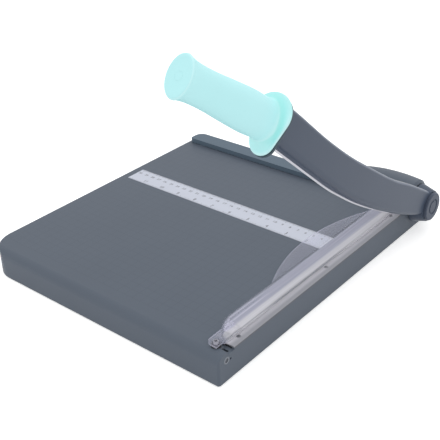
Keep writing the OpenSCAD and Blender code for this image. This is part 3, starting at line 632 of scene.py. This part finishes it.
def paper_pale(name, tint):
    """Matt printed plastic of the ruler strip."""
    f = Finish(name)
    skin = f.noise(f.place(), 1200.0, 2.0)
    cloud = f.noise(f.in_frame((0, 0, 0), scale=(0.05, 0.01, 0.01)), 1.0, 2.0)
    return f.set(Base_Color=f.tones(cloud * 0.7 + skin * 0.3, tint, 0.05), Roughness=0.42 + skin * 0.1,
                 Normal=f.bump(skin, 0.00002, 0.3))


def ink(name, tint):
    """Print of the ruler's scale."""
    f = Finish(name)
    wear = f.noise(f.place(), 700.0, 3.0)
    return f.set(Base_Color=f.tones(wear, tint, 0.35), Roughness=0.5 + wear * 0.15)


# Width of the ledger's darker band, partly a ground land and partly painted light that keeps the steel under the
# guard's lip paler, from where it starts to where it is full, in millimetres from the edge
LAND_STARTS, LAND_FULL = 7.6, 3.2


def ground_steel(name, tint, arm=False, rough=0.28, metallic=1.0, land=None):
    """Steel ground along its length, with fine streaks; the ledger darkens towards its cutting edge, partly a
    ground land and partly painted light that keeps the steel under the guard's lip paler.
    """
    f = Finish(name)
    turn = ARM_ANGLES if arm else (0.0, 0.0, 0.0)
    streak, band = (f.noise(f.in_frame(PIVOT, turn, (thin, long, thin)), 1.0, 2.0)
                    for thin, long in ((0.00022, 0.05), (0.0012, 0.12)))
    grain = streak * 0.6 + band * 0.4
    base = f.tones(grain, tint, 0.16)
    if land:
        edge = f.ease(f.split(f.place())[0], EDGE_X - LAND_STARTS * MM, EDGE_X - LAND_FULL * MM)
        side = f.ease(f.split(f.place("Normal"))[0], 0.5, 0.8)
        # Partly painted light: the steel under the guard's lip stays paler than the land
        base = f.blend(edge, base, f.tones(grain, land, 0.16))
        base = f.blend(side, base, times(land, 0.4))
    return f.set(Base_Color=base, Metallic=metallic,
                 Roughness=rough + streak * 0.16, Normal=f.bump(streak, 0.00001, 0.35))


def plated(name, tint, rough=0.32):
    """Turned and plated metal with small marks."""
    f = Finish(name)
    mark = f.noise(f.place(), 900.0, 4.0, 0.6)
    cloud = f.noise(f.place(), 120.0, 2.0)
    return f.set(Base_Color=f.tones(cloud, tint, 0.1), Metallic=1.0, Roughness=rough + mark * 0.18,
                 Normal=f.bump(mark, 0.00001, 0.4))


def grained(name, tint, rough, scale=1400.0, depth=0.00005):
    """Plain matt plastic or rubber with a grain."""
    f = Finish(name)
    skin = f.noise(f.place(), scale, 3.0, 0.6)
    cloud = f.noise(f.place(), 30.0, 2.0)
    return f.set(Base_Color=f.tones(cloud, tint, 0.15), Roughness=rough + skin * 0.15,
                 Normal=f.bump(skin, depth, 0.5))


# Pieces


class DressBase(bpy.types.Operator):
    """Moulded base, its fence and its bottom cover"""

    bl_idname = "trimmer.base"
    bl_label = "Base"

    def execute(self, context):
        shell = moulded("Slate table", finishes().shell, grid=True)
        plain = moulded("Slate plastic", finishes().shell)
        fence = moulded("Slate fence", finishes().fence)
        edge = sizes().soft_edge
        for name, node, finish in (("base", "base_shell", shell), ("fence", "rear_fence", fence),
                                   ("housing", "pivot_housing", plain)):
            stands_for(dressed(softened(name, node, edge), finish), node)
        kept(grained("Black cover", finishes().cover, 0.55), "bottom_cover")
        return {"FINISHED"}


# Ticks keep these distances from the strip's long edges, from its right end and from its left end
TICK_INSET, TICK_FROM_RIGHT, TICK_FROM_LEFT = 0.0003, 0.0005, 0.001
# Figures that the strip shows
INCHES, CENTIMETRES = range(2, 12), range(4, 31)


class DressRuler(bpy.types.Operator):
    """Ruler strip with its two printed scales"""

    bl_idname = "trimmer.ruler"
    bl_label = "Ruler"

    def execute(self, context):
        size = sizes()
        kept(paper_pale("Ruler face", finishes().ruler), "ruler_strip")
        print_ink = ink("Ruler ink", finishes().print)
        low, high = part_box("ruler_strip")
        ticks = tick_recipe(print_ink)
        common = {"Width": size.tick_width, "Ink": size.ink, "Short": size.tick_short,
                  "Middle": size.tick_middle, "Long": size.tick_long}
        for name, pitch, y, way, middle, long in (
            ("centimetre_ticks", MM, high.y - TICK_INSET, -1.0, 5, 10),
            ("inch_ticks", INCH / 16, low.y + TICK_INSET, 1.0, 4, 16),
        ):
            first = math.ceil((EDGE_X - high.x + TICK_FROM_RIGHT) / pitch)
            count = int((EDGE_X - low.x - TICK_FROM_LEFT) / pitch) - first + 1
            made = ticks.run(name, [(EDGE_X, y, TABLE_Z)], First=first, Count=count, Pitch=pitch, Way=way,
                             Middle_step=middle, Long_step=long, **common)
            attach(made, "base")
        for name, numbers, pitch, height, row in (
            ("inch_figures", INCHES, INCH, size.inch_height, size.inch_row),
            ("centimetre_figures", CENTIMETRES, CM, size.cm_height, size.cm_row),
        ):
            spots = [(str(n), Vector((EDGE_X - n * pitch, low.y + row, TABLE_Z))) for n in numbers]
            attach(dressed(figures(name, spots, height, size.ink), print_ink), "base")
        return {"FINISHED"}


def tick_recipe(material):
    """Ticks in a row along -x, longer at every middle and long step."""
    r = Recipe("Ruler ticks")
    first, count = r.size("First", "Int"), r.size("Count", "Int")
    pitch, way = r.size("Pitch"), r.size("Way")
    width, thick = r.size("Width"), r.size("Ink")
    short, middle, long = r.size("Short"), r.size("Middle"), r.size("Long")
    middle_step, long_step = r.size("Middle step"), r.size("Long step")
    number = r.node("GeometryNodeInputIndex") + first
    on_long = number % long_step < 0.5
    on_middle = number % middle_step < 0.5
    reach = short + on_middle * (middle - short) + on_long * (long - middle)
    line = r.node("GeometryNodeMeshLine", {"mode": "OFFSET"}, {
        "Count": count,
        "Start Location": r.node("ShaderNodeCombineXYZ", None, {0: first * pitch * -1.0}),
        "Offset": r.node("ShaderNodeCombineXYZ", None, {0: pitch * -1.0}),
    })
    bar = r.node("GeometryNodeMeshCube", None, {"Size": (1.0, 1.0, 1.0)})
    bar = r.node("GeometryNodeTransform", None, {
        "Geometry": bar,
        "Translation": r.node("ShaderNodeCombineXYZ", None, {1: way * 0.5, 2: 0.5}),
    })
    row = r.node("GeometryNodeInstanceOnPoints", None, {
        "Points": line,
        "Instance": bar,
        "Scale": r.node("ShaderNodeCombineXYZ", None, {0: width, 1: reach, 2: thick}),
    })
    rows = r.node("GeometryNodeInstanceOnPoints", None, {"Points": r.geometry(), "Instance": row})
    r.close(rows, material)
    return r


# Height of a figure as a share of its type size
FIGURE_SHARE = 0.7


def figures(name, spots, height, thick):
    """Figures as one thin mesh, each standing at its own spot."""
    work = bmesh.new()
    for words, spot in spots:
        text = bpy.data.curves.new(name, "FONT")
        text.body = words
        text.size = height / FIGURE_SHARE
        text.align_x, text.align_y = "CENTER", "CENTER"
        text.resolution_u = 3
        text.extrude = thick / 2
        holder = bpy.data.objects.new(name, text)
        bpy.context.scene.collection.objects.link(holder)
        graph = bpy.context.evaluated_depsgraph_get()
        mesh = bpy.data.meshes.new_from_object(holder.evaluated_get(graph))
        mesh.transform(Matrix.Translation(spot + Vector((0, 0, thick / 2))))
        work.from_mesh(mesh)
        bpy.data.objects.remove(holder)
        bpy.data.curves.remove(text)
        bpy.data.meshes.remove(mesh)
    bmesh.ops.remove_doubles(work, verts=work.verts, dist=SAME_INK_POINT)
    bmesh.ops.recalc_face_normals(work, faces=work.faces)
    return new_piece(name, work)


class DressLedger(bpy.types.Operator):
    """Steel ledger strip along the cutting edge"""

    bl_idname = "trimmer.ledger"
    bl_label = "Ledger"

    def execute(self, context):
        steel = ground_steel("Ledger steel", finishes().ledger, rough=0.48, metallic=0.35,
                             land=tuple(finishes().land))
        kept(steel, "ledger_strip")
        return {"FINISHED"}


class DressGuard(bpy.types.Operator):
    """Clear finger guard and the spacers under it"""

    bl_idname = "trimmer.guard"
    bl_label = "Finger guard"

    def execute(self, context):
        clear = clear_plastic("Clear plastic", finishes().guard, finishes().milky)
        stands_for(dressed(softened("guard", "finger_guard", sizes().fine_edge), clear), "finger_guard")
        # Black spacers, partly standing in for the shade under the guard's tab
        kept(grained("Black spacers", finishes().cover, 0.5), "guard_spacers")
        return {"FINISHED"}


SHANK_RADIUS = 1.5 * MM
# A recess's length as a share of its head's radius, the points round a head and a shank, and the turns'
# range and seed
RECESS_REACH, HEAD_POINTS, SHANK_POINTS = 1.25, 32, 20
SPIN_RANGE, SPIN_SEED = 1.57, 4


class DressScrews(bpy.types.Operator):
    """Screws with cross recesses, in their places in the frame"""

    bl_idname = "trimmer.screws"
    bl_label = "Screws"

    def execute(self, context):
        dark = plated("Blackened steel", finishes().dark, 0.4)
        worn = plated("Worn screws", finishes().worn, 0.36)
        zinc = plated("Zinc plated screws", finishes().zinc)
        grey = plated("Screws of the guard", times(finishes().zinc, 0.78))
        up, down, left = Euler((0, 0, 0)), Euler((math.pi, 0, 0)), Euler((0, -math.pi / 2, 0))
        # Radius of the head below and above and its height in millimetres, then the head's axis and end of the box
        for node, material, turn, lower, upper, head, axis, end in (
            ("ledger_screws", worn, up, 1.5, 2.3, 0.8, 2, 1),
            ("guard_screws", grey, up, 3.0, 2.6, 1.8, 2, 1),
            ("blade_screws", dark, left, 1.6, 3.4, 1.8, 0, 0),
            ("cover_screws", zinc, down, 3.0, 2.6, 1.8, 2, 0),
            ("fence_screws", zinc, down, 3.0, 2.6, 1.8, 2, 0),
            ("housing_screw", zinc, down, 3.0, 2.6, 1.8, 2, 0),
        ):
            boxes = solids(node)
            tops = [(low + high) / 2 for low, high in boxes]
            for top, box in zip(tops, boxes):
                top[axis] = box[end][axis]
            deep = boxes[0][1][axis] - boxes[0][0][axis]
            made = screw_recipe(material).run(
                node + "_set", tops, Lower=lower * MM, Upper=upper * MM,
                Head=head * MM, Shank=SHANK_RADIUS, Deep=deep, Recess=sizes().recess, Turn=turn)
            stands_for(shaded(made), node)
        kept(zinc, "plate_screws")
        return {"FINISHED"}


def screw_recipe(material):
    """A headed screw on each point, its head's face on the point and its shank below."""
    r = Recipe("Cross recess screws")
    lower, upper, head = r.size("Lower"), r.size("Upper"), r.size("Head")
    shank, deep, recess = r.size("Shank"), r.size("Deep"), r.size("Recess")
    turn = r.size("Turn", "Rotation")
    cone = r.node("GeometryNodeMeshCone", None, {
        "Vertices": HEAD_POINTS, "Radius Top": upper, "Radius Bottom": lower, "Depth": head})
    cone = r.node("GeometryNodeTransform", None, {
        "Geometry": cone, "Translation": r.node("ShaderNodeCombineXYZ", None, {2: head * -1.0})})
    reach = upper * RECESS_REACH
    bars = [r.node("GeometryNodeMeshCube", None, {"Size": r.node("ShaderNodeCombineXYZ", None, bar)})
            for bar in ({0: reach, 1: recess, 2: head}, {0: recess, 1: reach, 2: head})]
    cut = r.node("GeometryNodeMeshBoolean", {"operation": "DIFFERENCE", "solver": "EXACT"},
                 {"Mesh 1": cone, "Mesh 2": bars})
    rod_length = deep - head
    rod = r.node("GeometryNodeMeshCylinder", None, {
        "Vertices": SHANK_POINTS, "Radius": shank, "Depth": rod_length})
    rod = r.node("GeometryNodeTransform", None, {
        "Geometry": rod,
        "Translation": r.node("ShaderNodeCombineXYZ", None, {2: head * -1.0 - rod_length * 0.5})})
    screw = r.node("GeometryNodeJoinGeometry", None, {0: [cut, rod]})
    row = r.node("GeometryNodeInstanceOnPoints", None, {
        "Points": r.geometry(), "Instance": screw, "Rotation": turn})
    spin = r.node("FunctionNodeRandomValue", {"data_type": "FLOAT"},
                  {2: 0.0, 3: SPIN_RANGE, "Seed": SPIN_SEED}, 1)
    row = r.node("GeometryNodeRotateInstances", None, {
        "Instances": row, "Rotation": r.node("ShaderNodeCombineXYZ", None, {2: spin}), "Local Space": True})
    r.close(row, material)
    return r


class DressArm(bpy.types.Operator):
    """Blade arm with its collar and the cap over the pivot"""

    bl_idname = "trimmer.arm"
    bl_label = "Blade arm"

    def execute(self, context):
        slate = moulded("Slate arm", finishes().arm, arm=True, rough=0.32)
        cap = moulded("Slate cap", finishes().cap, arm=True)
        # The collar's colour is painted shade from the flange with a painted reflection of the mint grip
        collar = moulded("Slate collar", finishes().collar, arm=True)
        edge = sizes().soft_edge
        for name, node, finish in (("arm", "arm_shell", slate), ("collar", "arm_collar", collar),
                                   ("cap", "pivot_cap", cap)):
            stands_for(dressed(softened(name, node, edge), finish), node)
        return {"FINISHED"}


class DressBlade(bpy.types.Operator):
    """Ground cutting blade"""

    bl_idname = "trimmer.blade"
    bl_label = "Blade"

    def execute(self, context):
        kept(ground_steel("Blade steel", finishes().blade, arm=True), "cutting_blade")
        return {"FINISHED"}


class DressGrip(bpy.types.Operator):
    """Grip with its egg-shaped flange, the plug in its end and its steel tang"""

    bl_idname = "trimmer.grip"
    bl_label = "Grip"

    def execute(self, context):
        mint = soft_grip("Mint plastic", finishes().grip, finishes().flange, finishes().rim)
        made = shaded(dressed(grip_form("handle", sizes().segments), mint), 50.0)
        stands_for(made, "grip")
        kept(mint, "grip_plug")
        kept(plated("Tang steel", finishes().zinc), "grip_tang")
        return {"FINISHED"}


# Share of the grip's points that lie on the flange's wide circle
WIDE_SHARE = 0.65
# The body's height, as a share of the grip's, past which a ring takes on the flange's outline
SWELL = 1.1


def egg_arcs(count):
    """Radius, middle and angle of each point of the flange: a wide circle above, a narrow one below."""
    lean = math.asin((FLANGE_WIDTH - FLANGE_LOW) / 2 / (FLANGE_HEIGHT - (FLANGE_WIDTH + FLANGE_LOW) / 2))
    wide = round(count * WIDE_SHARE)
    low = count - wide
    over, under = math.pi + 2 * lean, math.pi - 2 * lean
    return ([(FLANGE_WIDTH / 2, (FLANGE_HEIGHT - FLANGE_WIDTH) / 2, over * i / (wide - 1) - lean)
             for i in range(wide)]
            + [(FLANGE_LOW / 2, (FLANGE_LOW - FLANGE_HEIGHT) / 2, math.pi + lean + under * i / (low + 1))
               for i in range(1, low + 1)])


def grip_form(name, count):
    """The grip as a loft of rings, with a bore for the tang and a hole for the plug."""
    half = GRIP_HEIGHT / 2
    swell = half * SWELL
    rim = FLANGE_THICK / 2
    profile = [(rim + rim * math.cos(a), FLANGE_HEIGHT / 2 - rim + rim * math.sin(a))
               for a in (math.pi * (1 - i / 16) for i in range(17))]
    neck = [profile[-1]] + [(FLANGE_THICK + past, half * h) for past, h in NECK_LINE]
    neck += [(s * GRIP_LENGTH, half * h) for s, h in GRIP_LINE if s * GRIP_LENGTH < GRIP_LENGTH - GRIP_EDGE]
    turn = [(GRIP_LENGTH - GRIP_EDGE + GRIP_EDGE * math.sin(a), half - GRIP_EDGE + GRIP_EDGE * math.cos(a))
            for a in (math.pi / 2 * i / 10 for i in range(11))]
    profile += [tuple(p) for p in spline(neck + [turn[0]], 8)[1:-1]] + turn
    place = ARM @ Matrix.Translation(GRIP_ORIGIN * MM) @ Matrix.Rotation(math.pi / 2, 4, "X")
    arcs = egg_arcs(count)

    def ring(z, wide, high, share=0.0):
        """An oval across the grip, turned by a share into the flange's outline."""
        points = []
        for radius, middle, a in arcs:
            body = Vector((wide * math.cos(a), high * math.sin(a), z))
            flange = Vector((FLANGE_SIDE + radius * math.cos(a), middle - FLANGE_DROP + radius * math.sin(a), z))
            points.append(place @ (body.lerp(flange, share) * MM))
        return points

    def section(z, high):
        share = max(0.0, (high - swell) / (FLANGE_HEIGHT / 2 - swell))
        body = min(high, swell)
        return ring(z, body * GRIP_WIDTH / GRIP_HEIGHT, body, share)

    def circle(z, radius):
        return ring(z, radius, radius)

    rings = [circle(BORE_DEEP, PIN), circle(BORE_DEEP, BORE_RADIUS), circle(0.0, BORE_RADIUS)]
    rings += [section(z, high) for z, high in profile]
    end = GRIP_LENGTH
    tall = half - GRIP_EDGE
    flat = tall * GRIP_WIDTH / GRIP_HEIGHT
    for share, sunk in END_DISH:
        wide, high = (size + (PLUG_RADIUS + PLUG_LIP - size) * share for size in (flat, tall))
        rings.append(ring(end - sunk, wide, high))
    rings += [circle(end - PLUG_SUNK, PLUG_RADIUS), circle(end - PLUG_DEEP, PLUG_RADIUS),
              circle(end - PLUG_DEEP, PIN)]
    return loft(name, rings)


class DressPivot(bpy.types.Operator):
    """Bolt, bush, plate, springs and nut of the pivot"""

    bl_idname = "trimmer.pivot"
    bl_label = "Pivot"

    def execute(self, context):
        zinc = plated("Pivot steel", finishes().zinc)
        kept(zinc, "pivot_plate", "pivot_bolt", "nut_washer", "pivot_nut")
        kept(plated("Spring steel", finishes().dark, 0.4), "disc_springs")
        kept(plated("Turned brass", finishes().brass, 0.25), "pivot_bush")
        kept(grained("White nylon", finishes().nylon, 0.5), "thrust_washer")
        return {"FINISHED"}


class DressLock(bpy.types.Operator):
    """Lock at the front right corner"""

    bl_idname = "trimmer.lock"
    bl_label = "Lock"

    def execute(self, context):
        kept(plated("Lock rod", finishes().rod, 0.4), "lock_rod")
        bush = softened("bush", "lock_bush", sizes().bush_edge)
        stands_for(dressed(bush, plated("Lock bush", finishes().lock, 0.3)), "lock_bush")
        knob = softened("knob", "lock_knob", sizes().fine_edge)
        stands_for(dressed(knob, grained("Dark knob", finishes().knob, 0.5)), "lock_knob")
        return {"FINISHED"}


class DressFeet(bpy.types.Operator):
    """Rubber feet"""

    bl_idname = "trimmer.feet"
    bl_label = "Feet"

    def execute(self, context):
        kept(grained("Foot rubber", finishes().rubber, 0.75, 900.0, 0.0001), "rubber_feet")
        return {"FINISHED"}


FLOOR_HALF = 3.0
# Colour of the floor and of the light it adds where it is seen; light of the sky and its colour where it is seen
FLOOR_PALE, FLOOR_SEEN = (0.82, 0.82, 0.82), (0.54, 0.54, 0.54)
SKY_LIGHT, SKY_SEEN = (0.94, 0.94, 0.94), (1.0, 1.0, 1.0)
# Soft lamps: place, aim, diameter and power
LAMPS = {
    "key": ((-0.2, -0.5, 1.9), (0.0, 0.0, 0.05), 1.2, 3.0),
    "rear": ((-0.3, 1.5, 1.25), (0.1, 0.1, 0.05), 0.5, 2.4),
}
# The camera: place, turn in degrees, and lens and sensor in millimetres
EYE_PLACE, EYE_TURN = (0.5119, -0.5931, 0.4887), (60.42, 1.57, 39.26)
EYE_LENS, EYE_SENSOR, EYE_NEAR = 69.96, 36.0, 0.01


class SetStage(bpy.types.Operator):
    """Pale floor, soft light and the camera"""

    bl_idname = "trimmer.stage"
    bl_label = "Stage"

    def execute(self, context):
        scene = context.scene
        scene.view_settings.view_transform = "Standard"
        floor_work = bmesh.new()
        bmesh.ops.create_grid(floor_work, x_segments=8, y_segments=8, size=FLOOR_HALF)
        floor = new_piece("floor", floor_work)
        dressed(floor, floor_finish())
        scene.world = sky()
        for name, (spot, aim, size, power) in LAMPS.items():
            lamp = bpy.data.lights.new(name, "AREA")
            lamp.shape = "DISK"
            lamp.size = size
            lamp.energy = power
            holder = bpy.data.objects.new(name, lamp)
            holder.location = spot
            holder.rotation_euler = (Vector(aim) - Vector(spot)).to_track_quat("-Z", "Y").to_euler()
            scene.collection.objects.link(holder)
        lens = bpy.data.cameras.new("camera")
        lens.lens = EYE_LENS
        lens.sensor_width = EYE_SENSOR
        lens.clip_start = EYE_NEAR
        eye = bpy.data.objects.new("camera", lens)
        eye.location = EYE_PLACE
        eye.rotation_euler = [math.radians(a) for a in EYE_TURN]
        scene.collection.objects.link(eye)
        scene.camera = eye
        return {"FINISHED"}


def seen_share(graph):
    """1 for what the camera sees directly, in a mirror or through glass."""
    seen = graph.outputs(graph.node("ShaderNodeLightPath"))
    by_name = {w.socket.name: w for w in seen}
    return by_name["Is Camera Ray"].most(by_name["Is Glossy Ray"]).most(by_name["Is Transmission Ray"])


def floor_finish():
    """White floor that keeps a soft shadow."""
    f = Finish("White floor")
    cloud = f.noise(f.place(), 3.0)
    glow = f.blend(seen_share(f), (0.0, 0.0, 0.0), FLOOR_SEEN)
    return f.set(Base_Color=f.tones(cloud, FLOOR_PALE, 0.01), Roughness=0.9,
                 Specular_IOR_Level=0.0, Emission_Color=glow, Emission_Strength=1.0)


def sky():
    """Even white light all round, white where it is seen."""
    world = bpy.data.worlds.new("Studio")
    world.use_nodes = True
    world.node_tree.nodes.clear()
    g = Graph(world.node_tree)
    light = g.blend(seen_share(g), SKY_LIGHT, SKY_SEEN)
    ground = g.node("ShaderNodeBackground", None, {"Color": light, "Strength": 1.0})
    g.node("ShaderNodeOutputWorld", None, {"Surface": ground})
    return world


class TrimmerPanel(bpy.types.Panel):
    """Lists what the trimmer is built from"""

    bl_idname = "TRIMMER_PT_pieces"
    bl_label = "Paper Trimmer"
    bl_space_type = "VIEW_3D"
    bl_region_type = "UI"
    bl_category = "Trimmer"

    def draw(self, context):
        for step in STEPS:
            self.layout.operator(step.bl_idname)
        for group in (finishes(), sizes()):
            box = self.layout.box()
            for name in group.bl_rna.properties.keys():
                if name not in {"rna_type", "name"}:
                    box.prop(group, name)


STEPS = (DressBase, DressRuler, DressLedger, DressGuard, DressScrews, DressArm, DressBlade, DressGrip,
         DressPivot, DressLock, DressFeet, SetStage)
CLASSES = (TrimmerFinishes, TrimmerSizes, *STEPS, TrimmerPanel)


def register():
    for made in CLASSES:
        bpy.utils.register_class(made)
    bpy.types.Scene.trimmer_finishes = PointerProperty(type=TrimmerFinishes)
    bpy.types.Scene.trimmer_sizes = PointerProperty(type=TrimmerSizes)


def unregister():
    del bpy.types.Scene.trimmer_sizes
    del bpy.types.Scene.trimmer_finishes
    for made in reversed(CLASSES):
        bpy.utils.unregister_class(made)


def main():
    register()
    for step in STEPS:
        group, name = step.bl_idname.split(".")
        getattr(getattr(bpy.ops, group), name)()


if __name__ == "__main__":
    main()
